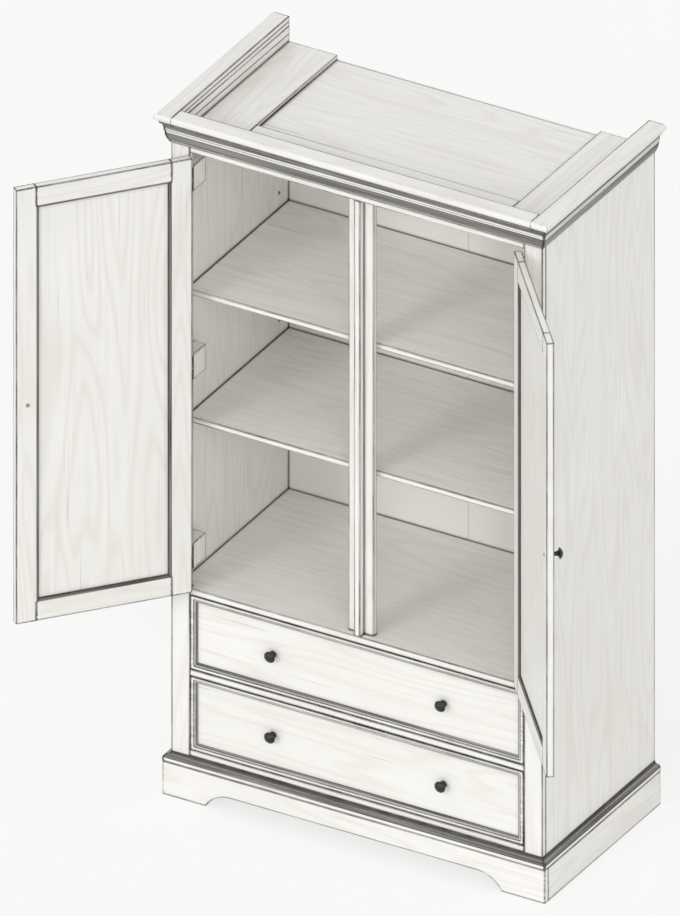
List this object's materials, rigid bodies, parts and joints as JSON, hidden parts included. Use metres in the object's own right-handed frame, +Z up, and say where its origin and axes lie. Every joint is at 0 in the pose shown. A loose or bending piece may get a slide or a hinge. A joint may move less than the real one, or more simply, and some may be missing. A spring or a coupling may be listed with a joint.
{
  "type": "linen cupboard",
  "caption": "Tall painted cupboard with framed doors on butt hinges over full-width drawers, shelves inside, a moulded cornice and an arched plinth.",
  "frame": {"origin": "on the floor, at the centre of the box that the cupboard takes with its doors standing open at 130 degrees", "axes": "+X to the right as seen from the front, +Y from the front to the back, +Z up"},
  "size_m": [1.512, 0.9036, 1.89],
  "materials": {
    "painted_wood": "satin white paint on solid wood",
    "painted_board": "satin white paint on board",
    "painted_hardboard": "matt white paint on hardboard",
    "drawer_wood": "clear matt lacquer on pine",
    "black_knob": "satin black",
    "hinge_steel": "dark burnished steel",
    "fastener_steel": "zinc plated"
  },
  "bodies": {
    "carcass": {"side_panel_left": "painted_board", "side_panel_right": "painted_board", "frame_stile_left": "painted_wood", "frame_stile_right": "painted_wood", "bottom_panel": "painted_board", "cupboard_floor": "painted_board", "top_panel": "painted_board", "back_panel_left": "painted_hardboard", "back_panel_right": "painted_hardboard", "drawer_rail": "painted_wood", "centre_post": "painted_wood", "door_stop_board": "painted_board", "lower_shelf": "painted_board", "upper_shelf": "painted_board", "shelf_pins": "fastener_steel", "hinge_blocks": "painted_wood", "plinth_front": "painted_wood", "plinth_left": "painted_wood", "plinth_right": "painted_wood", "base_rails": "drawer_wood", "plinth_cap_front": "painted_wood", "plinth_cap_left": "painted_wood", "plinth_cap_right": "painted_wood", "top_battens": "painted_board", "cornice_front": "painted_wood", "cornice_left": "painted_wood", "cornice_right": "painted_wood", "crown_front": "painted_wood", "crown_left": "painted_wood", "crown_right": "painted_wood", "drawer_runners": "drawer_wood", "frame_hinge_leaves": "hinge_steel", "hinge_pins": "hinge_steel", "frame_hinge_screws": "fastener_steel"},
    "left_door": {"left_door_hinge_stile": "painted_wood", "left_door_lock_stile": "painted_wood", "left_door_top_rail": "painted_wood", "left_door_bottom_rail": "painted_wood", "left_door_panel": "painted_board", "left_door_knob": "black_knob", "left_door_screws": "fastener_steel", "left_door_hinge_leaves": "hinge_steel"},
    "right_door": {"right_door_hinge_stile": "painted_wood", "right_door_lock_stile": "painted_wood", "right_door_top_rail": "painted_wood", "right_door_bottom_rail": "painted_wood", "right_door_panel": "painted_board", "right_door_knob": "black_knob", "right_door_screws": "fastener_steel", "right_door_hinge_leaves": "hinge_steel"},
    "upper_drawer": {"upper_drawer_front": "painted_wood", "upper_drawer_sides": "drawer_wood", "upper_drawer_back": "drawer_wood", "upper_drawer_bottom": "drawer_wood", "upper_drawer_knobs": "black_knob"},
    "lower_drawer": {"lower_drawer_front": "painted_wood", "lower_drawer_sides": "drawer_wood", "lower_drawer_back": "drawer_wood", "lower_drawer_bottom": "drawer_wood", "lower_drawer_knobs": "black_knob"}
  },
  "joints": [
    {"name": "left_door_hinge", "type": "hinge", "parent": "carcass", "child": "left_door", "pos_m": [-0.46275, -0.09145, 1.1865], "axis": [0, 0, -1], "range_deg": [-130, 40]},
    {"name": "right_door_hinge", "type": "hinge", "parent": "carcass", "child": "right_door", "pos_m": [0.46275, -0.09145, 1.1865], "axis": [0, 0, 1], "range_deg": [-130, 40]},
    {"name": "upper_drawer_slide", "type": "slide", "parent": "carcass", "child": "upper_drawer", "axis": [0, -1, 0], "range_m": [0, 0.38]},
    {"name": "lower_drawer_slide", "type": "slide", "parent": "carcass", "child": "lower_drawer", "axis": [0, -1, 0], "range_m": [0, 0.38]}
  ]
}
